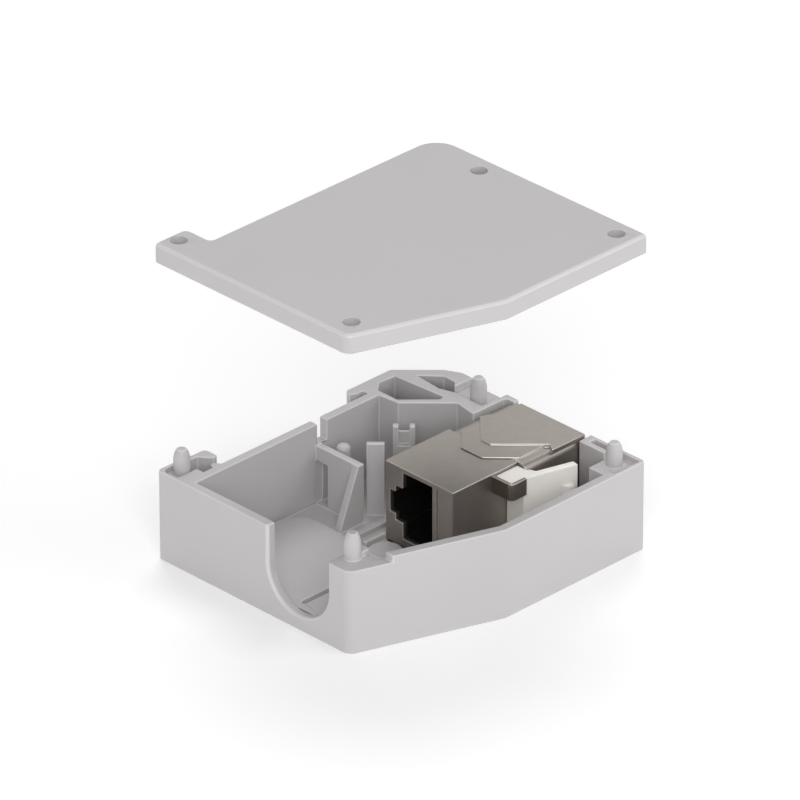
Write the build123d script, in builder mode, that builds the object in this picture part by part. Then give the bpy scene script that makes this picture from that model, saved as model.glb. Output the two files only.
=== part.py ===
from build123d import *
import os

os.makedirs("parts", exist_ok=True)

# Overall sizes, in millimetres; the width follows from the rail and the foot
hook_groove_x = 4.7
rail_fit = 35.3
foot_reach = 15.0
case_width = hook_groove_x + rail_fit + foot_reach
case_depth = 50.7
base_height = 15.5
floor = 1.6
wall = 1.6
cover_thickness = 3.2
cover_lift = 36.2

# Hook and foot that hold a 35 mm rail between their grooves
seat_depth = 5.4
hook_groove_back = 1.3
hook_reach = 5.1
hook_tip_x = hook_groove_x + hook_reach
foot_groove_x = hook_groove_x + rail_fit
foot_groove_back = 4.3
foot_barb = 2.4
foot_tip_x = foot_groove_x - foot_barb
foot_back = 2.4
foot_slant = 7.2
foot_knee_x = case_width - foot_slant
foot_second_knee = 8.4
foot_knee_end = 11.0

# Front slope of the case
slope_rise = 8.9
slope_start = case_depth - slope_rise
slope_end_x = 24.7

# Corner rounding
tab_round = 0.8
foot_round = 1.2
front_right_round = 0.6
front_left_round = 1.8
cover_tab_width = 6.8
cover_back_round = 4.4
cover_tab_round = 1.3
cover_notch_round = 0.6
cover_edge_round = 0.7

# Keystone coupler
coupler_bottom = 1.25
coupler_top = 15.4
front_gap = 1.15
coupler_length = 26.75
front_half_length = 12.85
rear_near = 37.0
rear_width = 14.8
front_width = 17.0
shoulder_overhang = 1.9
front_x = case_width - front_gap
rear_x = front_x - coupler_length
joint_x = front_x - front_half_length
rear_far = rear_near - rear_width
front_near = rear_near + shoulder_overhang
front_far = front_near - front_width
shoulder_round = 2.2
near_shoulder_round = 1.2
step_height = 0.3
face_thickness = 0.8
insert_inset = 0.6
cavity_near = rear_near - insert_inset
cavity_far = rear_far + insert_inset
cavity_bottom = coupler_bottom + 0.5
cavity_top = coupler_top - 0.5
seat_fit = 0.15

# Modular jack opening
jack_centre_height = 8.8
jack_width = 11.6
jack_depth = 6.3
jack_near = rear_near - 4.6
jack_far = jack_near - jack_depth
notch_width = 6.0
notch_far = jack_far - 1.6
latch_slot_width = 3.8
latch_slot_far = notch_far - 1.2
insert_gap = 0.4
rear_jack_end = joint_x - 3.0
front_jack_end = joint_x + 1.3
insert_rear_end = joint_x - 2.1
insert_front_start = joint_x + insert_gap
channel_near = jack_near + 2.6
channel_width = 0.62
channel_start = 2.1
contact_pitch = 1.02
contact_count = 8
contact_width = 0.36
contact_thickness = 0.24
contact_root = jack_near + 2.2
contact_bend = 3.25
contact_curl = 0.6
contact_drop = 3.6
contact_tip = 1.6

# Circuit board between the two inserts
board_x = joint_x - 1.5
board_thickness = 1.2
board_near = cavity_near - insert_gap
board_far = cavity_far + insert_gap
board_bottom = cavity_bottom + 0.45
board_top = cavity_top - 0.5

# Latch tongue and its clip
tongue_bottom = 3.5
tongue_top = 14.9
tongue_fit = 0.05
tongue_root = 2.3
tongue_root_depth = 3.7
tongue_reach = 6.9
tongue_thickness = 1.25
head_bottom = 12.6
head_reach = 2.6
catch_height = 8.4
clip_bottom = 12.3
clip_top = 15.2
clip_thickness = 0.6
clip_length = 3.3
clip_depth = 4.4

# Pins of the base, with the centre of each and its running fit in the cover
pin_points = [
    (3.3, 2.1), (3.7, slope_start - 2.85), (case_width - 3.5, front_far - 3.8),
    (case_width - 3.35, case_depth - 3.4),
]
pin_radius = 1.32
pin_tip_height = 1.6
pin_tip_inset = 0.55
pin_clearance = 0.07
pin_top = 18.8
pin_recess = 1.1
pin_collar = 1.85
outer_lip = 0.6

# Cable outlet in the left wall
outlet_centre = slope_start - 11.0
outlet_radius = 6.5
outlet_centre_height = 8.95
outlet_edge_round = 0.6

# Posts and ribs beside the coupler
post_radius = 1.15
post_height = 10.4
blade_width = 2.8
blade_thickness = 0.9
blade_height = 12.6
fork_width = 3.45
fork_thickness = 1.3
fork_height = 12.2
fork_slot_width = 1.75
fork_slot_height = 3.4
fork_back = 0.4
fork_back_drop = 1.2
gusset_reach = 4.1
gusset_height = 10.3


# Places a point measured from the left side and from the rail side of the tab
def at(x, depth):
    return (x - case_width / 2, case_depth / 2 - depth)


# Finds the sketch corner nearest to such a point
def corner(sketch, x, depth):
    px, py = at(x, depth)
    return sketch.vertices().sort_by_distance((px, py, 0))[0]


def outline(points):
    return [at(x, depth) for x, depth in points]


# Plan of a straight block between two distances along the case and two across it
def block(start_x, end_x, far, near):
    return outline([(start_x, far), (end_x, far), (end_x, near), (start_x, near)])


# Plan of the base, with the hook on the left and the foot on the right
base_points = [
    (0, 0), (6.6, 0), (7.0, 0.4), (hook_tip_x - 0.5, 0.4), (hook_tip_x, 0.9), (hook_tip_x, 3.1),
    (hook_tip_x - 0.9, 3.3), (hook_tip_x - 1.9, 2.2), (hook_tip_x - 2.4, hook_groove_back),
    (hook_groove_x, hook_groove_back),
    (hook_groove_x, seat_depth), (6.7, seat_depth), (7.1, seat_depth - 1.0), (7.9, seat_depth - 1.0),
    (8.5, seat_depth), (foot_groove_x, seat_depth), (foot_groove_x, foot_groove_back),
    (foot_tip_x + 1.1, foot_groove_back), (foot_tip_x, foot_groove_back - 0.6),
    (foot_tip_x, foot_back + 0.7), (foot_tip_x + 0.7, foot_back), (foot_knee_x, foot_back),
    (case_width - 1.3, foot_second_knee), (case_width, foot_knee_end), (case_width, case_depth),
    (slope_end_x, case_depth), (0, slope_start),
]

# Plan of the open chamber inside the walls
back_wall_inside = seat_depth + wall
right_wall_inside = case_width - wall
corner_block = 6.2
boss_side = 5.6
chamber_points = [
    (wall, back_wall_inside), (foot_groove_x + 0.8, back_wall_inside), (foot_groove_x + 1.1, 10.9),
    (case_width - 7.4, front_far - 4.5), (case_width - 8.1, front_far - 0.8),
    (case_width - 8.1, front_far - 0.3), (right_wall_inside, front_far - 0.3),
    (right_wall_inside, front_near + 0.2), (right_wall_inside - 1.1, front_near + 0.2),
    (right_wall_inside - 1.1, case_depth - corner_block + 0.1),
    (case_width - corner_block, case_depth - corner_block + 0.1),
    (case_width - corner_block, case_depth - wall), (slope_end_x + 0.26, case_depth - wall),
    (boss_side, slope_start + 0.32), (boss_side, slope_start - 4.4), (wall, slope_start - 4.4),
]

# Plans of the two pockets that lighten the foot
pocket_one_points = [
    (foot_groove_x + 1.8, 5.8), (foot_knee_x - 4.2, foot_back + 1.8), (foot_knee_x - 1.0, foot_back + 2.0),
    (foot_knee_x - 0.3, 14.4), (foot_knee_x - 1.3, 14.6), (foot_groove_x + 1.8, 10.0),
]
pocket_two_points = [
    (case_width - 5.6, foot_second_knee - 1.7), (case_width - 2.8, foot_second_knee + 1.5),
    (case_width - 2.9, foot_second_knee + 3.9), (case_width - 5.3, foot_second_knee + 6.1),
    (case_width - 6.1, foot_second_knee + 3.6),
]

# Plan of the cover, with its tab
cover_points = [
    (0, 0), (cover_tab_width, 0), (cover_tab_width, seat_depth), (case_width, seat_depth),
    (case_width, case_depth), (slope_end_x, case_depth), (0, slope_start),
]

# Plan of the hollow under the cover, cut back round the corner bosses
cover_hollow_points = [
    (wall, back_wall_inside), (case_width - 7.4, back_wall_inside), (case_width - 7.4, front_far - 1.3),
    (case_width - 0.8, front_far - 1.3), (case_width - 0.8, front_near + 0.7),
    (right_wall_inside, front_near + 0.7), (right_wall_inside, case_depth - 6.8),
    (case_width - 7.4, case_depth - 6.8), (case_width - 7.4, case_depth - wall),
    (slope_end_x + 0.26, case_depth - wall), (6.2, slope_start + 0.54), (6.2, slope_start - 5.6),
    (wall, slope_start - 5.6),
]

# One-piece moulded base with hook, foot, pins and inner ribs
with BuildPart() as base_housing:
    with BuildSketch(Plane.XY) as base_plan:
        with BuildLine():
            Polyline(*outline(base_points), close=True)
        make_face()
        fillet(corner(base_plan, 0, 0), tab_round)
        fillet(corner(base_plan, foot_knee_x, foot_back), foot_round)
        fillet(corner(base_plan, case_width - 1.4, foot_second_knee), foot_round)
        fillet(corner(base_plan, case_width, case_depth), front_right_round)
        fillet(corner(base_plan, 0, slope_start), front_left_round)
    extrude(amount=base_height)

    # Open chamber
    with BuildSketch(Plane.XY.offset(floor)):
        with BuildLine():
            Polyline(*outline(chamber_points), close=True)
        make_face()
    extrude(amount=base_height, mode=Mode.SUBTRACT)

    # Two pockets of the foot, with a thin diagonal rib between them
    with BuildSketch(Plane.XY.offset(floor)):
        with BuildLine():
            Polyline(*outline(pocket_one_points), close=True)
        make_face()
        with BuildLine():
            Polyline(*outline(pocket_two_points), close=True)
        make_face()
    extrude(amount=base_height, mode=Mode.SUBTRACT)

    # Raised floor pad that leads the cable in, with a slot for a cable tie
    pad_right = rear_x - 4.4
    pad_front = outlet_centre + 5.2
    with BuildSketch(Plane.XY.offset(floor)) as pad_plan:
        with BuildLine():
            Polyline(*outline([(wall, back_wall_inside + 0.6), (pad_right, back_wall_inside + 0.6),
                               (pad_right - 0.8, pad_front), (wall, pad_front)]), close=True)
        make_face()
        fillet(corner(pad_plan, pad_right, back_wall_inside + 0.6), 4.2)
    extrude(amount=0.8)
    with BuildSketch(Plane.XY.offset(floor - 0.4)):
        with Locations(at(6.4, outlet_centre - 2.4)):
            SlotOverall(6.2, 1.0)
    extrude(amount=base_height, mode=Mode.SUBTRACT)

    # Shallow seat under the coupler
    with BuildSketch(Plane.XY.offset(coupler_bottom - 0.05)):
        with BuildLine():
            Polyline(*outline([(rear_x - 0.1, front_far - seat_fit), (front_x + 0.1, front_far - seat_fit),
                               (front_x + 0.1, front_near + seat_fit), (rear_x - 0.1, front_near + seat_fit)]),
                     close=True)
        make_face()
    extrude(amount=base_height, mode=Mode.SUBTRACT)

    # Window for the front socket, with a lip at its side and below
    with BuildSketch(Plane.XY.offset(coupler_bottom + 0.65)):
        with BuildLine():
            Polyline(*outline([(right_wall_inside - 0.4, front_far + 1.5), (case_width + 1.0, front_far + 1.5),
                               (case_width + 1.0, front_near + seat_fit),
                               (right_wall_inside - 0.4, front_near + seat_fit)]), close=True)
        make_face()
    extrude(amount=base_height, mode=Mode.SUBTRACT)

    # Cable outlet in the left wall
    with BuildSketch(Plane.YZ.offset(-case_width / 2)):
        with Locations((case_depth / 2 - outlet_centre, outlet_centre_height)):
            Circle(outlet_radius)
        with Locations((case_depth / 2 - outlet_centre, outlet_centre_height + outlet_radius)):
            Rectangle(2 * outlet_radius, 2 * outlet_radius)
    extrude(amount=wall + 0.02, mode=Mode.SUBTRACT)

    # Notch in the rail-side wall beside the foot
    with BuildSketch(Plane.XY.offset(base_height - 3.5)):
        with BuildLine():
            Polyline(*outline([(rear_x + 0.4, seat_depth - 0.8), (rear_x + 2.4, seat_depth - 0.8),
                               (rear_x + 2.4, back_wall_inside + 0.2), (rear_x + 0.4, back_wall_inside + 0.2)]),
                     close=True)
        make_face()
    extrude(amount=base_height, mode=Mode.SUBTRACT)

    # Lowered ledges round the four pins: two inside a thin outer lip, two open to the outside
    lip_x = case_width - outer_lip
    with BuildSketch(Plane.XY.offset(base_height - pin_recess)):
        with BuildLine():
            Polyline(*outline([(outer_lip, 1.2), (1.2, outer_lip), (hook_groove_x, outer_lip),
                               (hook_groove_x, 3.9), (outer_lip, 3.9)]), close=True)
        make_face()
        with BuildLine():
            Polyline(*outline([(-1.0, slope_start - 4.6), (boss_side, slope_start - 4.6),
                               (boss_side, slope_start - 1.6), (7.0, slope_start - 0.6),
                               (7.0, slope_start + 5.0), (-1.0, slope_start + 5.0)]), close=True)
        make_face()
        with BuildLine():
            Polyline(*block(case_width - 5.3, case_width + 1.0, front_far - 8.6, front_far - 1.1), close=True)
        make_face()
        with BuildLine():
            Polyline(*outline([(case_width - 6.3, case_depth - corner_block),
                               (right_wall_inside - 0.1, case_depth - corner_block),
                               (right_wall_inside - 0.1, front_near + 1.5), (lip_x, front_near + 1.5),
                               (lip_x, case_depth - outer_lip), (case_width - 6.3, case_depth - outer_lip)]),
                     close=True)
        make_face()
    extrude(amount=base_height, mode=Mode.SUBTRACT)

    # Small rib beside the pin of the front left corner
    with BuildSketch(Plane.XY.offset(floor)):
        with BuildLine():
            Polyline(*outline([(4.7, slope_start - 3.3), (6.3, slope_start - 3.3), (6.3, slope_start - 1.9),
                               (4.7, slope_start - 1.9)]), close=True)
        make_face()
    extrude(amount=base_height - pin_recess + 0.9 - floor)

    # Collar round the pin of the front right corner
    with BuildSketch(Plane.XY.offset(base_height - pin_recess)):
        with Locations(at(*pin_points[3])):
            Circle(pin_collar)
    extrude(amount=0.35)

    # Four pins with tapered and rounded tips
    with BuildSketch(Plane.XY.offset(floor)):
        with Locations(*[at(x, depth) for x, depth in pin_points]):
            Circle(pin_radius)
    extrude(amount=pin_top - pin_tip_height - floor)
    for pin_x, pin_depth in pin_points:
        near = at(pin_x, pin_depth)
        loft_base = Plane.XY.offset(pin_top - pin_tip_height)
        with BuildSketch(loft_base):
            with Locations(near):
                Circle(pin_radius)
        with BuildSketch(loft_base.offset(pin_tip_height * 0.6)):
            with Locations(near):
                Circle(pin_radius - pin_tip_inset * 0.36)
        loft(ruled=True)
        with BuildSketch(loft_base.offset(pin_tip_height * 0.6)):
            with Locations(near):
                Circle(pin_radius - pin_tip_inset * 0.36)
        with BuildSketch(loft_base.offset(pin_tip_height)):
            with Locations(near):
                Circle(pin_radius - pin_tip_inset)
        loft(ruled=True)

    # Partition beside the cable chamber, with its sloped gusset
    partition_end = rear_x + 1.25
    with BuildSketch(Plane.XY.offset(floor)):
        with BuildLine():
            Polyline(*outline([(rear_x, back_wall_inside - 0.1), (partition_end, back_wall_inside - 0.1),
                               (partition_end, 16.4), (rear_x, 16.4)]), close=True)
        make_face()
    extrude(amount=gusset_height)
    gusset_x = rear_x - case_width / 2
    with BuildSketch(Plane.XZ.offset(15.1 - case_depth / 2)):
        with BuildLine():
            Polyline((gusset_x - gusset_reach, floor), (gusset_x + 1.2, floor),
                     (gusset_x + 1.2, floor + gusset_height), (gusset_x, floor + gusset_height), close=True)
        make_face()
    extrude(amount=1.3)
    with BuildSketch(Plane.YZ.offset(gusset_x - 0.2)):
        with Locations((case_depth / 2 - 8.2, 5.5)):
            Rectangle(2.6, 7.6)
    extrude(amount=1.7, mode=Mode.SUBTRACT)

    # Round-topped post, flat blade and forked post behind the coupler
    with BuildSketch(Plane.XY.offset(floor)):
        with Locations(at(rear_x + 3.1, 9.9)):
            Circle(post_radius)
    extrude(amount=post_height)
    post_place = at(rear_x + 3.1, 9.9)
    post_top = base_housing.edges().filter_by(GeomType.CIRCLE).sort_by_distance(
        (post_place[0], post_place[1], floor + post_height))[0]
    fillet(post_top, post_radius * 0.6)
    with BuildSketch(Plane.XY.offset(floor)):
        with Locations(Location((*at(rear_x + 4.25, 15.8), 0), (0, 0, -45))):
            Rectangle(blade_width, blade_thickness)
    extrude(amount=blade_height)
    fork_place = at(joint_x - 2.1, 14.4)
    with BuildSketch(Plane.XY.offset(floor)):
        with Locations(Location((*fork_place, 0), (0, 0, -45))):
            Rectangle(fork_width, fork_thickness)
    extrude(amount=fork_height)
    with BuildSketch(Plane.XY.offset(floor + fork_height - fork_slot_height)):
        with Locations(Location((*fork_place, 0), (0, 0, -45))):
            with Locations((0, -fork_back)):
                Rectangle(fork_slot_width, fork_thickness)
    extrude(amount=base_height, mode=Mode.SUBTRACT)
    with BuildSketch(Plane.XY.offset(floor + fork_height - fork_back_drop)):
        with Locations(Location((*fork_place, 0), (0, 0, -45))):
            Rectangle(fork_slot_width, 2 * fork_thickness)
    extrude(amount=base_height, mode=Mode.SUBTRACT)

    # Low ribs and a round stop on the floor in front of the coupler
    with BuildSketch(Plane.XY.offset(floor)):
        with BuildLine():
            Polyline(*outline([(rear_x - 3.5, front_far - 3.1), (rear_x + 5.9, front_far - 3.1),
                               (rear_x + 5.9, front_far - 1.9), (rear_x - 3.5, front_far - 1.9)]), close=True)
        make_face()
        with BuildLine():
            Polyline(*outline([(pad_right, front_far - 0.2), (rear_x - 0.2, front_far - 0.2),
                               (rear_x - 0.2, front_far + 0.6), (pad_right, front_far + 0.6)]), close=True)
        make_face()
        with Locations(at(rear_x - 3.9, rear_far + 4.0)):
            Circle(2.7)
    extrude(amount=1.1)

    # Rounded outer rim of the cable outlet
    rim_edges = base_housing.edges().filter_by(GeomType.CIRCLE).filter_by(
        lambda e: abs(e.center().X + case_width / 2) < 0.01 and abs(e.radius - outlet_radius) < 0.01)
    fillet(rim_edges, outlet_edge_round)

base_housing.part.label = "base_housing"
export_step(base_housing.part, "parts/base_housing.step")

# Lift-off cover, shown raised above the base
cover_bottom = base_height + cover_lift
cover_height_plane = Plane.XY.offset(cover_bottom)
with BuildPart() as cover:
    with BuildSketch(cover_height_plane) as cover_plan:
        with BuildLine():
            Polyline(*outline(cover_points), close=True)
        make_face()
        fillet(corner(cover_plan, 0, 0), tab_round)
        fillet(corner(cover_plan, cover_tab_width, 0), cover_tab_round)
        fillet(corner(cover_plan, cover_tab_width, seat_depth), cover_notch_round)
        fillet(corner(cover_plan, case_width, seat_depth), cover_back_round)
        fillet(corner(cover_plan, case_width, case_depth), front_right_round)
        fillet(corner(cover_plan, 0, slope_start), front_left_round)
    extrude(amount=cover_thickness)
    fillet(cover.faces().sort_by(Axis.Z)[-1].outer_wire().edges(), cover_edge_round)

    # Hollow underside that clears the raised top of the coupler
    with BuildSketch(cover_height_plane):
        with BuildLine():
            Polyline(*outline(cover_hollow_points), close=True)
        make_face()
    extrude(amount=1.5, mode=Mode.SUBTRACT)

    # Through holes for the pins
    with BuildSketch(cover_height_plane):
        with Locations(*[at(x, depth) for x, depth in pin_points]):
            Circle(pin_radius + pin_clearance)
    extrude(amount=cover_thickness, mode=Mode.SUBTRACT)

cover.part.label = "cover"
export_step(cover.part, "parts/cover.step")

# Profile of the modular jack opening, seen along the width of the case
jack_far_y = case_depth / 2 - jack_far
jack_near_y = case_depth / 2 - jack_near
notch_far_y = case_depth / 2 - notch_far
latch_far_y = case_depth / 2 - latch_slot_far
jack_profile = [
    (jack_near_y, jack_centre_height - jack_width / 2),
    (jack_far_y, jack_centre_height - jack_width / 2),
    (jack_far_y, jack_centre_height - notch_width / 2),
    (notch_far_y, jack_centre_height - notch_width / 2),
    (notch_far_y, jack_centre_height - latch_slot_width / 2),
    (latch_far_y, jack_centre_height - latch_slot_width / 2),
    (latch_far_y, jack_centre_height + latch_slot_width / 2),
    (notch_far_y, jack_centre_height + latch_slot_width / 2),
    (notch_far_y, jack_centre_height + notch_width / 2),
    (jack_far_y, jack_centre_height + notch_width / 2),
    (jack_far_y, jack_centre_height + jack_width / 2),
    (jack_near_y, jack_centre_height + jack_width / 2),
]

# Rear half of the die-cast shell, with its socket facing the cable chamber
with BuildPart() as shell_rear:
    with BuildSketch(Plane.XY.offset(coupler_bottom)):
        with BuildLine():
            Polyline(*block(rear_x, joint_x, rear_far, rear_near), close=True)
        make_face()
    extrude(amount=coupler_top - coupler_bottom)
    fillet(shell_rear.edges().filter_by(Axis.Z).sort_by(Axis.X)[0:2], 0.35)
    with BuildSketch(Plane.XY.offset(cavity_bottom)):
        with BuildLine():
            Polyline(*block(rear_x + face_thickness, joint_x, cavity_far, cavity_near), close=True)
        make_face()
    extrude(amount=cavity_top - cavity_bottom, mode=Mode.SUBTRACT)
    with BuildSketch(Plane.YZ.offset(rear_x - case_width / 2)):
        with BuildLine():
            Polyline(*jack_profile, close=True)
        make_face()
    extrude(amount=face_thickness, mode=Mode.SUBTRACT)

    # Shallow upright groove beside the socket
    with BuildSketch(Plane.XY.offset(coupler_bottom + 1.0)):
        with BuildLine():
            Polyline(*block(rear_x - 0.1, rear_x + 0.3, jack_near + 0.95, jack_near + 1.35), close=True)
        make_face()
    extrude(amount=coupler_top - coupler_bottom - 1.75, mode=Mode.SUBTRACT)

shell_rear.part.label = "shell_rear"
export_step(shell_rear.part, "parts/shell_rear.step")

# Front half of the die-cast shell, wider at its shoulders and stepped on top
far_plate = front_far + 2.3
near_plate = front_near - 2.2
shoulder_x = joint_x + 6.9
lower_step_points = [
    (joint_x - 3.2, far_plate + 3.7), (joint_x - 0.1, far_plate + 0.7), (joint_x + 0.7, far_plate - 0.1),
    (front_x, far_plate - 0.1), (front_x, near_plate), (joint_x + 0.9, near_plate),
    (joint_x + 0.4, near_plate - 0.5), (joint_x - 3.2, near_plate - 4.2),
]
upper_step_points = [
    (joint_x + 0.3, far_plate + 4.4), (joint_x + 5.5, far_plate - 0.8), (joint_x + 6.8, far_plate - 0.2),
    (joint_x + 8.0, far_plate + 0.8), (front_x, far_plate + 0.8), (front_x, front_near),
    (joint_x + 5.6, front_near), (joint_x + 6.7, near_plate + 0.6), (joint_x + 0.3, near_plate - 5.9),
]
with BuildPart() as shell_front:
    with BuildSketch(Plane.XY.offset(coupler_bottom)):
        with BuildLine():
            Polyline(*block(joint_x, front_x, front_far, front_near), close=True)
        make_face()
    extrude(amount=coupler_top - coupler_bottom)
    top_sides = shell_front.faces().sort_by(Axis.Z)[-1].edges().filter_by(Axis.X).sort_by(Axis.Y)
    fillet(top_sides[-1], shoulder_round)
    fillet(top_sides[0], near_shoulder_round)
    with BuildSketch(Plane.XY.offset(coupler_top)):
        with BuildLine():
            Polyline(*outline(lower_step_points), close=True)
        make_face()
    extrude(amount=step_height)
    with BuildSketch(Plane.XY.offset(coupler_top - 0.2)):
        with BuildLine():
            Polyline(*outline(upper_step_points), close=True)
        make_face()
    extrude(amount=2 * step_height + 0.2)
    with BuildSketch(Plane.XY.offset(cavity_bottom)):
        with BuildLine():
            Polyline(*block(joint_x, front_x - face_thickness, cavity_far, cavity_near), close=True)
        make_face()
    extrude(amount=cavity_top - cavity_bottom, mode=Mode.SUBTRACT)
    with BuildSketch(Plane.YZ.offset(front_x - face_thickness - case_width / 2)):
        with BuildLine():
            Polyline(*jack_profile, close=True)
        make_face()
    extrude(amount=face_thickness, mode=Mode.SUBTRACT)

shell_front.part.label = "shell_front"
export_step(shell_front.part, "parts/shell_front.step")

contact_levels = [jack_centre_height + (i - (contact_count - 1) / 2) * contact_pitch
                  for i in range(contact_count)]

# Rear jack insert, with one channel for each contact
channel_rear_start = rear_x + channel_start
with BuildPart() as insert_rear:
    with BuildSketch(Plane.XY.offset(cavity_bottom)):
        with BuildLine():
            Polyline(*block(rear_x + face_thickness, insert_rear_end, cavity_far, cavity_near), close=True)
        make_face()
    extrude(amount=cavity_top - cavity_bottom)
    with BuildSketch(Plane.YZ.offset(rear_x + face_thickness - case_width / 2)):
        with BuildLine():
            Polyline(*jack_profile, close=True)
        make_face()
    extrude(amount=rear_jack_end - rear_x - face_thickness, mode=Mode.SUBTRACT)
    for level in contact_levels:
        with BuildSketch(Plane.XY.offset(level - channel_width / 2)):
            with BuildLine():
                Polyline(*block(channel_rear_start, insert_rear_end, jack_near - 0.1, channel_near), close=True)
            make_face()
        extrude(amount=channel_width, mode=Mode.SUBTRACT)

insert_rear.part.label = "insert_rear"
export_step(insert_rear.part, "parts/insert_rear.step")

# Front jack insert
channel_front_end = front_x - channel_start
with BuildPart() as insert_front:
    with BuildSketch(Plane.XY.offset(cavity_bottom)):
        with BuildLine():
            Polyline(*block(insert_front_start, front_x - face_thickness, cavity_far, cavity_near), close=True)
        make_face()
    extrude(amount=cavity_top - cavity_bottom)
    with BuildSketch(Plane.YZ.offset(front_jack_end - case_width / 2)):
        with BuildLine():
            Polyline(*jack_profile, close=True)
        make_face()
    extrude(amount=front_x - face_thickness - front_jack_end, mode=Mode.SUBTRACT)
    for level in contact_levels:
        with BuildSketch(Plane.XY.offset(level - channel_width / 2)):
            with BuildLine():
                Polyline(*block(insert_front_start, channel_front_end, jack_near - 0.1, channel_near), close=True)
            make_face()
        extrude(amount=channel_width, mode=Mode.SUBTRACT)

insert_front.part.label = "insert_front"
export_step(insert_front.part, "parts/insert_front.step")

# Circuit board that joins the two rows of contacts
with BuildPart() as circuit_board:
    with BuildSketch(Plane.XY.offset(board_bottom)):
        with BuildLine():
            Polyline(*block(board_x, board_x + board_thickness, board_far, board_near), close=True)
        make_face()
    extrude(amount=board_top - board_bottom)

circuit_board.part.label = "circuit_board"
export_step(circuit_board.part, "parts/circuit_board.step")


# Bent path of a contact: from the board along its channel, then back down into the socket
def contact_path(board_face, bend_x, inward, tip_x):
    return outline([(board_face, contact_root), (bend_x, contact_root),
                    (bend_x - inward * contact_curl, contact_root - contact_curl * 0.7),
                    (bend_x - inward * contact_curl * 0.65, contact_root - contact_curl * 1.5),
                    (tip_x, contact_root - contact_drop)])


# Sprung contacts of the rear socket, one strip for each wire
for number, level in enumerate(contact_levels, start=1):
    with BuildPart() as contact_rear:
        with BuildSketch(Plane.XY.offset(level - contact_width / 2)):
            with BuildLine():
                Polyline(*contact_path(board_x, rear_x + contact_bend, 1, rear_jack_end - contact_tip))
            trace(line_width=contact_thickness)
        extrude(amount=contact_width)
    contact_rear.part.label = f"contact_rear_{number}"
    export_step(contact_rear.part, f"parts/contact_rear_{number}.step")

# Sprung contacts of the front socket
for number, level in enumerate(contact_levels, start=1):
    with BuildPart() as contact_front:
        with BuildSketch(Plane.XY.offset(level - contact_width / 2)):
            with BuildLine():
                Polyline(*contact_path(board_x + board_thickness, front_x - contact_bend, -1,
                                       front_jack_end + contact_tip))
            trace(line_width=contact_thickness)
        extrude(amount=contact_width)
    contact_front.part.label = f"contact_front_{number}"
    export_step(contact_front.part, f"parts/contact_front_{number}.step")

# Plastic latch tongue beside the coupler, with its head and a small catch
root_x = joint_x - 2 * tongue_fit - tongue_root
root_end = joint_x - 2 * tongue_fit
root_far = rear_near + tongue_fit
root_near = rear_near + tongue_fit + tongue_root_depth
arm_end = joint_x + tongue_reach
arm_near = root_near + 2.65
with BuildPart() as latch_tongue:
    with BuildSketch(Plane.XY.offset(tongue_bottom)):
        with BuildLine():
            Polyline(*outline([
                (root_x, root_far), (root_end, root_far), (root_end, front_near + 2 * tongue_fit),
                (joint_x + 0.3, front_near + 0.3), (joint_x + 0.7, front_near + 1.4),
                (arm_end, arm_near - tongue_thickness), (arm_end - 0.2, arm_near),
                (joint_x + 0.2, root_near + 0.75), (root_x, root_near)]), close=True)
        make_face()
    extrude(amount=tongue_top - tongue_bottom)
    with BuildSketch(Plane.XY.offset(head_bottom)):
        with BuildLine():
            Polyline(*block(root_x - head_reach, root_x + 0.1, root_far, root_near), close=True)
        make_face()
    extrude(amount=tongue_top - head_bottom)
    with BuildSketch(Plane.XY.offset(tongue_bottom)):
        with BuildLine():
            Polyline(*outline([(arm_end - 2.9, arm_near - 1.0), (arm_end - 1.1, arm_near - 0.5),
                               (arm_end - 1.3, arm_near + 0.5), (arm_end - 2.3, arm_near + 0.2)]), close=True)
        make_face()
    extrude(amount=catch_height)

latch_tongue.part.label = "latch_tongue"
export_step(latch_tongue.part, "parts/latch_tongue.step")

# Bent metal clip that holds the head of the tongue
clip_x = joint_x - 2.4 - clip_length
clip_near = rear_near + clip_depth
with BuildPart() as latch_clip:
    with BuildSketch(Plane.XY.offset(clip_bottom)) as clip_plan:
        with BuildLine():
            Polyline(*outline([
                (clip_x, rear_near), (clip_x, clip_near), (clip_x + clip_length, clip_near),
                (clip_x + clip_length, clip_near - clip_thickness),
                (clip_x + clip_thickness, clip_near - clip_thickness),
                (clip_x + clip_thickness, rear_near)]), close=True)
        make_face()
        fillet(corner(clip_plan, clip_x, clip_near), clip_thickness + 0.2)
    extrude(amount=clip_top - clip_bottom)

latch_clip.part.label = "latch_clip"
export_step(latch_clip.part, "parts/latch_clip.step")
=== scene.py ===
# %% [markdown]
# # An opened coupler for a 35 mm rail
# The object is a light grey moulded case that lies on its side. Its cover hangs above it, as in a
# product picture that shows the inside. In the case sits a shielded keystone coupler.
# The shapes come from a CAD model, which fixes every size. They could be modelled again here, but
# then two models would have to agree. So this file only gives them softened edges, finishes,
# light and a camera.

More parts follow.
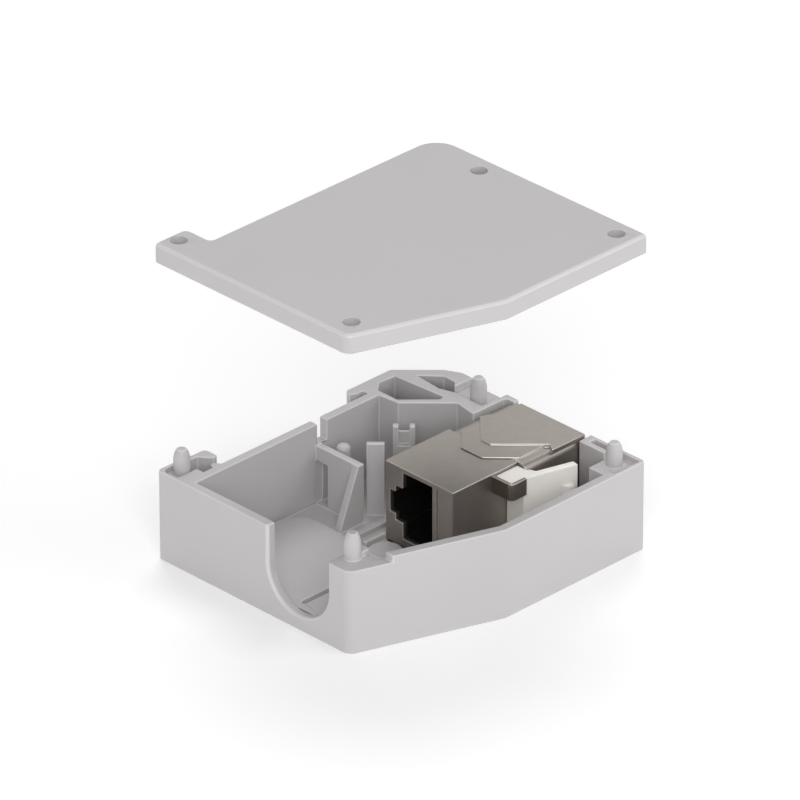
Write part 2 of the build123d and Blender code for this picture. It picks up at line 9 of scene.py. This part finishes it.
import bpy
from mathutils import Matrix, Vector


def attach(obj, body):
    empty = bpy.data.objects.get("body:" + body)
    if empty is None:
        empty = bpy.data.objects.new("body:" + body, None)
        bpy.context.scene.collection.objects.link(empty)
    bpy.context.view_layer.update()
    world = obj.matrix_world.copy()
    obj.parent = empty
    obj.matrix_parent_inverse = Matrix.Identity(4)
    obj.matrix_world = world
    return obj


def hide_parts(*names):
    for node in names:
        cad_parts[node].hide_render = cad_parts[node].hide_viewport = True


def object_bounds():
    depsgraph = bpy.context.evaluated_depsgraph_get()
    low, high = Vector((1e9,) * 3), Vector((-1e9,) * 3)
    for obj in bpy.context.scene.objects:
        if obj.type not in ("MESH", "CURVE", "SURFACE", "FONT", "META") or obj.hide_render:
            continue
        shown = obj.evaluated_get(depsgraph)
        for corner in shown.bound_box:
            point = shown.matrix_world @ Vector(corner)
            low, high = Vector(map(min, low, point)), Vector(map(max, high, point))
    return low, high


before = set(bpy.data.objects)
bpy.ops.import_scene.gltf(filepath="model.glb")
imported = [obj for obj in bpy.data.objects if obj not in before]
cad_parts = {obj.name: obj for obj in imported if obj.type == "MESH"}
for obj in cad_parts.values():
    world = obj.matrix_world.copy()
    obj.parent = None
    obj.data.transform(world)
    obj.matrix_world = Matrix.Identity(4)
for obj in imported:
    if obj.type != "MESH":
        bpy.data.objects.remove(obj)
cad_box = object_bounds()

# %% [markdown]
# ## Small helpers
# Colours are easiest to read as the hex values of a colour picker. Those are sRGB, and Blender's
# shaders count in linear light, so one function turns them by the sRGB curve. A noise node wants
# its scale in cells per metre, and a maker thinks of a grain's size in millimetres, so a second
# one turns that. A third one adds a shader node, sets it and links it, because each material
# below needs a handful of them, and the last one starts an empty material.

# %% Helpers for colours, sizes and materials
import math

import bmesh
import bpy
from mathutils import Matrix, Vector

MM = 0.001


def linear(hex_colour):
    values = [int(hex_colour[i:i + 2], 16) / 255 for i in (1, 3, 5)]
    return tuple(v / 12.92 if v <= 0.04045 else ((v + 0.055) / 1.055) ** 2.4 for v in values) + (1.0,)


def cells_of(size_mm):
    return 1 / (size_mm * MM)


def add_node(tree, kind, sockets=None, **settings):
    node = tree.nodes.new(kind)
    for name, value in settings.items():
        setattr(node, name, value)
    for name, value in (sockets or {}).items():
        if isinstance(value, bpy.types.NodeSocket):
            tree.links.new(value, node.inputs[name])
        else:
            node.inputs[name].default_value = value
    return node


def new_material(name):
    material = bpy.data.materials.new(name)
    material.use_nodes = True
    material.node_tree.nodes.clear()
    return material, material.node_tree


print("mid grey in linear light", [round(v, 3) for v in linear("#808080")])

# %% [markdown]
# ## Case: moulded ABS in light grey
# The case is injection moulded in a steel mould that sparks have etched. The mould prints a fine,
# even grain on the plastic, so it looks matte, and light spreads softly over it. The grain could
# come from a picture, but that needs the mesh laid out flat. A noise texture fills space, so it
# runs round every corner without a seam, and here it drives a small bump. The real grain is about
# 0.05 mm, a third of a pixel in this picture, so it is drawn at 0.32 mm, or two pixels, the
# finest that shows. A second, slow noise of 14 mm lets the roughness and the colour wander a
# little, as the flow in the mould does, because a perfectly even tone looks like paint.
# The rounded edges of the case are smoother than its faces, so they take the same plastic with
# less grain, and in a lighter tone that is a painted highlight for the light those edges catch.

# %% Material for the case
def moulded_abs(name, dark, light, smoothest, grain_depth):
    roughest = smoothest + 0.06
    material, tree = new_material(name)
    where = add_node(tree, "ShaderNodeTexCoord").outputs["Object"]
    grain = add_node(tree, "ShaderNodeTexNoise",
                     {"Vector": where, "Scale": cells_of(0.32), "Detail": 3.0, "Roughness": 0.55})
    flow = add_node(tree, "ShaderNodeTexNoise",
                    {"Vector": where, "Scale": cells_of(14), "Detail": 2.0, "Roughness": 0.5})
    tone = add_node(tree, "ShaderNodeMix", {"Factor": flow.outputs["Fac"]}, data_type="RGBA")
    tone.inputs["A"].default_value = linear(dark)
    tone.inputs["B"].default_value = linear(light)
    rough = add_node(tree, "ShaderNodeMapRange",
                     {"Value": flow.outputs["Fac"], "From Min": 0.3, "From Max": 0.7,
                      "To Min": smoothest, "To Max": roughest})
    bump = add_node(tree, "ShaderNodeBump",
                    {"Height": grain.outputs["Fac"], "Strength": grain_depth,
                     "Distance": 0.02 * MM})
    plastic = add_node(tree, "ShaderNodeBsdfPrincipled",
                       {"Base Color": tone.outputs["Result"], "Roughness": rough.outputs["Result"],
                        "IOR": 1.52, "Normal": bump.outputs["Normal"]})
    add_node(tree, "ShaderNodeOutputMaterial", {"Surface": plastic.outputs["BSDF"]})
    return material


case_plastic = moulded_abs("moulded_abs_light_grey", "#BEBBBC", "#C2BFC0", 0.46, 0.22)
# the lighter edge tone is a painted highlight on the rounded edges
edge_plastic_painted_highlight = moulded_abs("moulded_abs_smooth_edge_painted_highlight", "#CFCCCD", "#D3D0D1", 0.30, 0.08)
print("made", case_plastic.name, "and", edge_plastic_painted_highlight.name)

# %% [markdown]
# ## Coupler shell: die-cast zinc with satin nickel
# The keystone body is cast in zinc and plated with nickel, which is a warm, slightly yellow grey
# metal. The cast skin under it is not quite flat, so reflections break up into soft patches, and
# tumbling in stones leaves fine scratches in all directions. A brushed metal would take one noise
# stretched one way. This one takes two even noises: one of 1.6 mm for the cast skin, and one for
# the scratches. Those are hair-fine in truth and are drawn at 0.15 mm, about one pixel, where
# they only just break up a reflection. Tumbling also burnishes the edges, so they get a smoother
# version of the same plating, and its brighter tone is a painted highlight for glints on the edges.

# %% Material for the metal shell
def nickel_on_zinc(name, dark, light, smoothest):
    roughest = smoothest + 0.12
    material, tree = new_material(name)
    where = add_node(tree, "ShaderNodeTexCoord").outputs["Object"]
    skin = add_node(tree, "ShaderNodeTexNoise",
                    {"Vector": where, "Scale": cells_of(1.6), "Detail": 2.0, "Roughness": 0.4})
    scratch = add_node(tree, "ShaderNodeTexNoise",
                       {"Vector": where, "Scale": cells_of(0.15), "Detail": 4.0, "Roughness": 0.7})
    tone = add_node(tree, "ShaderNodeMix", {"Factor": skin.outputs["Fac"]}, data_type="RGBA")
    tone.inputs["A"].default_value = linear(dark)
    tone.inputs["B"].default_value = linear(light)
    rough = add_node(tree, "ShaderNodeMapRange",
                     {"Value": scratch.outputs["Fac"], "From Min": 0.25, "From Max": 0.75,
                      "To Min": smoothest, "To Max": roughest})
    height = add_node(tree, "ShaderNodeMath", {0: skin.outputs["Fac"], 1: scratch.outputs["Fac"]},
                      operation="ADD")
    bump = add_node(tree, "ShaderNodeBump",
                    {"Height": height.outputs["Value"], "Strength": 0.12, "Distance": 0.02 * MM})
    metal = add_node(tree, "ShaderNodeBsdfPrincipled",
                     {"Base Color": tone.outputs["Result"], "Roughness": rough.outputs["Result"],
                      "Metallic": 1.0, "Normal": bump.outputs["Normal"]})
    add_node(tree, "ShaderNodeOutputMaterial", {"Surface": metal.outputs["BSDF"]})
    return material


shell_metal = nickel_on_zinc("satin_nickel_on_cast_zinc", "#A19B95", "#AAA49D", 0.40)
# the brighter edge tone is a painted highlight, glints on the shell's edges
shell_edge_painted_highlight = nickel_on_zinc("smooth_nickel_painted_highlight", "#C4BEB7", "#CDC7C0", 0.24)
print("made", shell_metal.name, "and", shell_edge_painted_highlight.name)

# %% [markdown]
# ## Jack inserts: black moulded PBT
# The socket linings are black polyester with glass fibre. The fibres lie in the skin and give it
# a faint mottle, and the plastic is a little glossier than the case. A flat black would do from
# afar, but it looks cut out of paper where light grazes the stepped walls. So a noise of 0.4 mm,
# about the length of a fibre, gives the mottle. Almost no light reaches the depth of the socket,
# so its mouth reads as a dark hole.

# %% Material for the jack inserts
def black_pbt():
    material, tree = new_material("moulded_pbt_black")
    where = add_node(tree, "ShaderNodeTexCoord").outputs["Object"]
    fibres = add_node(tree, "ShaderNodeTexNoise",
                      {"Vector": where, "Scale": cells_of(0.4), "Detail": 3.0, "Roughness": 0.6})
    rough = add_node(tree, "ShaderNodeMapRange",
                     {"Value": fibres.outputs["Fac"], "To Min": 0.38, "To Max": 0.5})
    bump = add_node(tree, "ShaderNodeBump",
                    {"Height": fibres.outputs["Fac"], "Strength": 0.12, "Distance": 0.01 * MM})
    plastic = add_node(tree, "ShaderNodeBsdfPrincipled",
                       {"Base Color": linear("#0B0A09"), "Roughness": rough.outputs["Result"],
                        "IOR": 1.6, "Normal": bump.outputs["Normal"]})
    add_node(tree, "ShaderNodeOutputMaterial", {"Surface": plastic.outputs["BSDF"]})
    return material


insert_plastic = black_pbt()
print("made", insert_plastic.name)

# %% [markdown]
# ## Contacts: gold-plated spring wire
# Gold plate over a springy copper alloy stays bright, so it is a full metal of low roughness. The
# rolled strip leaves faint lines. A wave texture could draw them, but its lines are too regular,
# so a noise is squeezed across the strip and stretched along it. The real lines are too fine to
# show, so they are drawn coarser: 9 in a millimetre across the strip, each about 3 mm long. They
# only change the roughness, because plating fills their depth.

# %% Material for the contacts
def gold_plate():
    material, tree = new_material("gold_plate_on_spring_wire")
    where = add_node(tree, "ShaderNodeTexCoord").outputs["Object"]
    stretched = add_node(tree, "ShaderNodeMapping",
                         {"Vector": where, "Scale": (0.3 / MM, 0.3 / MM, 9 / MM)})
    lines = add_node(tree, "ShaderNodeTexNoise",
                     {"Vector": stretched.outputs["Vector"], "Scale": 1.0, "Detail": 2.0})
    rough = add_node(tree, "ShaderNodeMapRange",
                     {"Value": lines.outputs["Fac"], "To Min": 0.16, "To Max": 0.3})
    metal = add_node(tree, "ShaderNodeBsdfPrincipled",
                     {"Base Color": linear("#E3B768"), "Roughness": rough.outputs["Result"],
                      "Metallic": 1.0})
    add_node(tree, "ShaderNodeOutputMaterial", {"Surface": metal.outputs["BSDF"]})
    return material


contact_gold = gold_plate()
print("made", contact_gold.name)

# %% [markdown]
# ## Circuit board: glass-epoxy laminate under green lacquer
# The board hides between the two inserts. The woven glass under the lacquer shows as small bumps,
# one where each pair of threads crosses. A woven pattern could be drawn thread by thread, but it
# would be lost at this size, so a Voronoi texture with cells of 0.5 mm, about the thread spacing,
# gives the bumps. The lacquer is a clear coat over them.

# %% Material for the circuit board
def lacquered_board():
    material, tree = new_material("green_lacquer_on_glass_epoxy")
    where = add_node(tree, "ShaderNodeTexCoord").outputs["Object"]
    weave = add_node(tree, "ShaderNodeTexVoronoi", {"Vector": where, "Scale": cells_of(0.5)})
    bump = add_node(tree, "ShaderNodeBump",
                    {"Height": weave.outputs["Distance"], "Strength": 0.1, "Distance": 0.01 * MM})
    board = add_node(tree, "ShaderNodeBsdfPrincipled",
                     {"Base Color": linear("#1D5A34"), "Roughness": 0.45, "IOR": 1.55,
                      "Coat Weight": 0.6, "Coat Roughness": 0.15, "Normal": bump.outputs["Normal"]})
    add_node(tree, "ShaderNodeOutputMaterial", {"Surface": board.outputs["BSDF"]})
    return material


board_lacquer = lacquered_board()
print("made", board_lacquer.name)

# %% [markdown]
# ## Latch tongue: ivory acetal
# The tongue is a stiff, slippery plastic, so it is a little glossier than the case and lets some
# light in under its skin, which softens its shaded side. A translucent shader would let light
# through the whole thickness, so the shader's own subsurface light is used instead, with a reach
# of 0.6 mm. The three colours reach almost equally far, or the thin places would glow red. A fine
# noise, also of 0.6 mm, keeps the gloss from looking painted.

# %% Material for the latch tongue
def ivory_acetal():
    material, tree = new_material("moulded_acetal_ivory")
    where = add_node(tree, "ShaderNodeTexCoord").outputs["Object"]
    skin = add_node(tree, "ShaderNodeTexNoise",
                    {"Vector": where, "Scale": cells_of(0.6), "Detail": 2.0, "Roughness": 0.5})
    rough = add_node(tree, "ShaderNodeMapRange",
                     {"Value": skin.outputs["Fac"], "To Min": 0.34, "To Max": 0.44})
    bump = add_node(tree, "ShaderNodeBump",
                    {"Height": skin.outputs["Fac"], "Strength": 0.08, "Distance": 0.01 * MM})
    plastic = add_node(tree, "ShaderNodeBsdfPrincipled",
                       {"Base Color": linear("#FAF6F0"), "Roughness": rough.outputs["Result"],
                        "IOR": 1.48, "Subsurface Weight": 0.25, "Subsurface Scale": 0.6 * MM,
                        "Subsurface Radius": (1.0, 0.85, 0.7),
                        "Normal": bump.outputs["Normal"]})
    add_node(tree, "ShaderNodeOutputMaterial", {"Surface": plastic.outputs["BSDF"]})
    return material


tongue_acetal = ivory_acetal()
print("made", tongue_acetal.name)

# %% [markdown]
# ## Latch clip: bent spring steel
# The clip is cut from rolled steel strip. Rolling leaves long fine lines, so, as on the contacts,
# a noise is squeezed across the strip and stretched along it. These lines are drawn coarser than
# the real ones too: 7 in a millimetre, each about 2 mm long. No plating fills them, so they also
# drive a small bump. The steel is darker than the nickel. Its edges are bare where the shears cut
# them, and their much brighter tone is a painted highlight.

# %% Material for the clip
def rolled_spring_steel(name, colour):
    material, tree = new_material(name)
    where = add_node(tree, "ShaderNodeTexCoord").outputs["Object"]
    stretched = add_node(tree, "ShaderNodeMapping",
                         {"Vector": where, "Scale": (0.5 / MM, 0.5 / MM, 7 / MM)})
    lines = add_node(tree, "ShaderNodeTexNoise",
                     {"Vector": stretched.outputs["Vector"], "Scale": 1.0, "Detail": 3.0})
    rough = add_node(tree, "ShaderNodeMapRange",
                     {"Value": lines.outputs["Fac"], "To Min": 0.26, "To Max": 0.42})
    bump = add_node(tree, "ShaderNodeBump",
                    {"Height": lines.outputs["Fac"], "Strength": 0.1, "Distance": 0.01 * MM})
    metal = add_node(tree, "ShaderNodeBsdfPrincipled",
                     {"Base Color": linear(colour), "Roughness": rough.outputs["Result"],
                      "Metallic": 1.0, "Normal": bump.outputs["Normal"]})
    add_node(tree, "ShaderNodeOutputMaterial", {"Surface": metal.outputs["BSDF"]})
    return material


clip_steel = rolled_spring_steel("rolled_spring_steel", "#A0978D")
# the brighter edge tone is a painted highlight on the clip's sheared edges
clip_edge_painted_highlight = rolled_spring_steel("sheared_steel_painted_highlight", "#DAD4CB")
print("made", clip_steel.name, "and", clip_edge_painted_highlight.name)

# %% [markdown]
# ## Contacts and board take their finish directly
# The contacts are thin strips and the board is a flat plate, all deep inside the coupler. Their
# edges could be softened as those of the other pieces are below, but nobody would see it. So the
# CAD objects stay, and only their material changes.

# %% Finish the nodes that keep their CAD mesh
def finish_node(name, material):
    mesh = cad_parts[name].data
    mesh.materials.clear()
    mesh.materials.append(material)


contacts_in_a_socket = 8
for number in range(1, contacts_in_a_socket + 1):
    finish_node(f"contact_rear_{number}", contact_gold)
    finish_node(f"contact_front_{number}", contact_gold)
finish_node("circuit_board", board_lacquer)
print("finished", 2 * contacts_in_a_socket, "contacts and the board")

# %% [markdown]
# ## Softened edges
# No moulded or cast edge is razor sharp: the mould leaves a small radius, and that thin line
# catches the light. A CAD mesh has none. A Bevel modifier could add it, but it trips over the
# long thin triangles of a CAD mesh. So the flat faces are first joined back from triangles, and
# then one bevel rounds every sharp edge of the part by the same radius. It takes material off the
# outer edges and fills the inner ones a little, so the part stays inside the CAD's box.
# The rounded strips take the mesh's second material slot, so they can have their own finish; on
# the case, shell and clip that finish has a lighter tone, a painted highlight.

# %% Round the sharp edges of a mesh
weld_distance = 0.002 * MM
flat_within = math.radians(0.6)
sharp_from = math.radians(40)
edge_slot = 1


def round_edges(work, radius, rim):
    bmesh.ops.remove_doubles(work, verts=work.verts, dist=weld_distance)
    bmesh.ops.dissolve_limit(work, angle_limit=flat_within, verts=work.verts, edges=work.edges)
    many_sided = [face for face in work.faces if len(face.verts) > 4]
    bmesh.ops.triangulate(work, faces=many_sided, ngon_method="BEAUTY")
    bmesh.ops.recalc_face_normals(work, faces=work.faces)
    sharp = [edge for edge in work.edges if edge.calc_face_angle(0.0) > sharp_from]
    bmesh.ops.bevel(work, geom=sharp, offset=radius, offset_type="OFFSET", segments=2,
                    profile=0.5, affect="EDGES", clamp_overlap=False, material=edge_slot)
    work.normal_update()
    for face in work.faces:
        # faces that pass the rim test also take the edge slot and its painted highlight
        if rim and rim(face):
            face.material_index = edge_slot
    bmesh.ops.triangulate(work, faces=work.faces)


print("edges are rounded from", round(math.degrees(sharp_from)), "degrees")

# %% [markdown]
# ## Faces that are round already
# The cover's rim and the mouth of the cable outlet are rounded in the CAD model itself, and on
# the real case they are as smooth as the other edges, so they take the edge slot too, with its
# painted highlight. Their faces could be picked by number, but the numbers change with every
# build of the CAD model. So two tests find them: both by how far a face slants, and the
# outlet's also by its place near the outlet and the wall's outer side.

# %% Tests for the faces of the two rims
least_slant = 0.25
most_slant = 0.97
outlet_middle = -5.45 * MM
outlet_reach = 7.5 * MM
outlet_depth = 0.7 * MM


def slanting(part_of_normal):
    return least_slant < part_of_normal < most_slant


def cover_rim(face):
    return slanting(face.normal.z)


def outlet_rim(face):
    centre = face.calc_center_median()
    near_outlet = abs(centre.y - outlet_middle) < outlet_reach
    near_outside = centre.x < cad_box[0][0] + outlet_depth
    return slanting(-face.normal.x) and near_outlet and near_outside


leans = [round(math.degrees(math.acos(part))) for part in (most_slant, least_slant)]
print("a rim's faces lean by", leans[0], "to", leans[1], "degrees")

# %% [markdown]
# ## The softened parts
# The CAD object has to stay as it is, so each part is a copy that replaces it in the picture and
# rides on the same body: the cover's copy lifts with the cover. The radius could be one for all,
# but thin pieces have finer edges than the case, so each part names its own. The cover has the
# smallest, because the hole in its tab almost touches the rim and leaves no room for more.
# The second slot holds smoother plastic on the case, burnished nickel on the shell and sheared
# steel on the clip, each in a lighter tone that is a painted highlight. Smooth shading alone would
# make flat walls look puffed up, so a Weighted Normal modifier lets the large faces decide, and
# only the narrow strips look round.

# %% Copies of the CAD parts with rounded edges
crease_from = math.radians(50)


def softened(node_name, radius_mm, material, edge_highlight_material=None, rim=None, body="housing"):
    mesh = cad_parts[node_name].data.copy()
    mesh.name = node_name + "_soft"
    mesh.materials.clear()
    mesh.materials.append(material)
    mesh.materials.append(edge_highlight_material or material)
    work = bmesh.new()
    work.from_mesh(mesh)
    round_edges(work, radius_mm * MM, rim)
    work.to_mesh(mesh)
    work.free()
    piece = bpy.data.objects.new(node_name + "_soft", mesh)
    bpy.context.scene.collection.objects.link(piece)
    mesh.shade_smooth()
    mesh.set_sharp_from_angle(angle=crease_from)
    flat_first = piece.modifiers.new("flat_faces_stay_flat", "WEIGHTED_NORMAL")
    flat_first.keep_sharp = True
    flat_first.weight = 100
    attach(piece, body)
    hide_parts(node_name)
    return piece


soft_parts = [
    softened("base_housing", 0.16, case_plastic, edge_plastic_painted_highlight, outlet_rim),
    softened("cover", 0.05, case_plastic, edge_plastic_painted_highlight, cover_rim, body="cover"),
    softened("shell_rear", 0.12, shell_metal, shell_edge_painted_highlight),
    softened("shell_front", 0.10, shell_metal, shell_edge_painted_highlight),
    softened("insert_rear", 0.06, insert_plastic),
    softened("insert_front", 0.06, insert_plastic),
    softened("latch_tongue", 0.14, tongue_acetal),
    softened("latch_clip", 0.08, clip_steel, clip_edge_painted_highlight),
]
for part in soft_parts:
    rounded = sum(face.material_index for face in part.data.polygons)
    print(part.name, "faces", len(part.data.polygons), "of them rounded edges", rounded)

# %% [markdown]
# ## Floor
# The picture has a white floor. White paper alone turns grey wherever the lamps fade, so the
# floor is a product table of opal glass, two metres wide, with a faint light under it. The light
# is an even glow of the surface itself, and the shadow of the case still shows on it.

# %% Floor
table_half = 1
table_corners = [(-table_half, -table_half, 0), (table_half, -table_half, 0),
                 (table_half, table_half, 0), (-table_half, table_half, 0)]
floor_mesh = bpy.data.meshes.new("floor")
floor_mesh.from_pydata(table_corners, [], [(0, 1, 2, 3)])
floor = bpy.data.objects.new("floor", floor_mesh)
bpy.context.scene.collection.objects.link(floor)
floor_opal, floor_tree = new_material("opal_glass_table")
opal = add_node(floor_tree, "ShaderNodeBsdfPrincipled",
                {"Base Color": linear("#FDFDFD"), "Roughness": 0.9, "Specular IOR Level": 0.1,
                 "Emission Color": linear("#FFFFFF"), "Emission Strength": 0.14})
add_node(floor_tree, "ShaderNodeOutputMaterial", {"Surface": opal.outputs["BSDF"]})
floor_mesh.materials.append(floor_opal)
print("floor", 2 * table_half, "m wide")

# %% [markdown]
# ## World
# The light in the picture is very even. Many lamps could give that, but a pale world gives it
# from all sides at once. Its strength depends on how far a ray rises: up to 0.05, or 3 degrees,
# it is almost white, so that the background is white where a low view sees past the table's
# edge. It has faded to the overhead strength at 0.22, or 13 degrees.

# %% World
horizon_strength = 0.92
overhead_strength = 0.45
world = bpy.data.worlds.new("studio")
bpy.context.scene.world = world
world.use_nodes = True
sky = world.node_tree
sky.nodes.clear()
ray = add_node(sky, "ShaderNodeTexCoord").outputs["Generated"]
rise = add_node(sky, "ShaderNodeSeparateXYZ", {"Vector": ray}).outputs["Z"]
strength = add_node(sky, "ShaderNodeMapRange",
                    {"Value": rise, "From Min": 0.05, "From Max": 0.22,
                     "To Min": horizon_strength, "To Max": overhead_strength},
                    interpolation_type="SMOOTHSTEP")
pale = add_node(sky, "ShaderNodeBackground",
                {"Color": linear("#FFFFFF"), "Strength": strength.outputs["Result"]})
add_node(sky, "ShaderNodeOutputWorld", {"Surface": pale.outputs["Background"]})
print("world from", overhead_strength, "overhead to", horizon_strength, "at the horizon")

# %% [markdown]
# ## Lamps
# The cover keeps most of the world's light out of the case. So the main lamp stands low on the
# camera's side, where it shines under the cover. A second low one on the right front lifts the
# long side, and one high behind lights the upper faces and draws a soft shadow towards the
# camera. Spots or suns would draw hard shadows and hot spots, so all three are wide discs.

# %% Lamps
lamp_aim = Vector((0, 0, 0.02))


def soft_lamp(name, place, width, watts):
    light = bpy.data.lights.new(name, "AREA")
    light.shape = "DISK"
    light.size = width
    light.energy = watts
    lamp = bpy.data.objects.new(name, light)
    bpy.context.scene.collection.objects.link(lamp)
    lamp.location = Vector(place)
    lamp.rotation_euler = (lamp_aim - Vector(place)).to_track_quat("-Z", "Y").to_euler()
    print(name, width, "m wide", watts, "W")


soft_lamp("camera_side_lamp", (-0.60, -0.61, 0.53), 0.70, 4.0)
soft_lamp("right_front_lamp", (0.45, -0.70, 0.48), 0.60, 1.6)
soft_lamp("high_back_lamp", (0.38, 0.40, 0.92), 0.55, 2.9)

# %% [markdown]
# ## Camera
# The camera was fitted to the outline in the picture: it looks from the left front corner at about
# 29 degrees above the floor, through a very long lens, so the edges stay almost parallel. A
# camera that tracks a target would lose the slight roll, so its three axes are built here from
# the angles.

# %% Camera
azimuth = math.radians(-44.629)
elevation = math.radians(28.926)
roll = math.radians(-0.130)
distance = 1.65113
floor_point_at_centre = Vector((0.034123, 0.034821, 0.0))
back = Vector((math.sin(azimuth) * math.cos(elevation), -math.cos(azimuth) * math.cos(elevation),
               math.sin(elevation)))
side = (-back).cross(Vector((0, 0, 1))).normalized()
up = side.cross(-back)
side_rolled = side * math.cos(roll) + up * math.sin(roll)
up_rolled = up * math.cos(roll) - side * math.sin(roll)
turn = Matrix((side_rolled, up_rolled, back)).transposed().to_4x4()
camera_data = bpy.data.cameras.new("camera")
camera_data.sensor_width = 36.0
camera_data.lens = 470.95
camera_data.clip_start = 0.1
camera_data.clip_end = 20.0
camera = bpy.data.objects.new("camera", camera_data)
bpy.context.scene.collection.objects.link(camera)
camera.matrix_world = Matrix.Translation(floor_point_at_centre + back * distance) @ turn
bpy.context.scene.camera = camera
bpy.context.scene.view_settings.view_transform = "Standard"
print("camera at", [round(v, 3) for v in camera.matrix_world.translation])
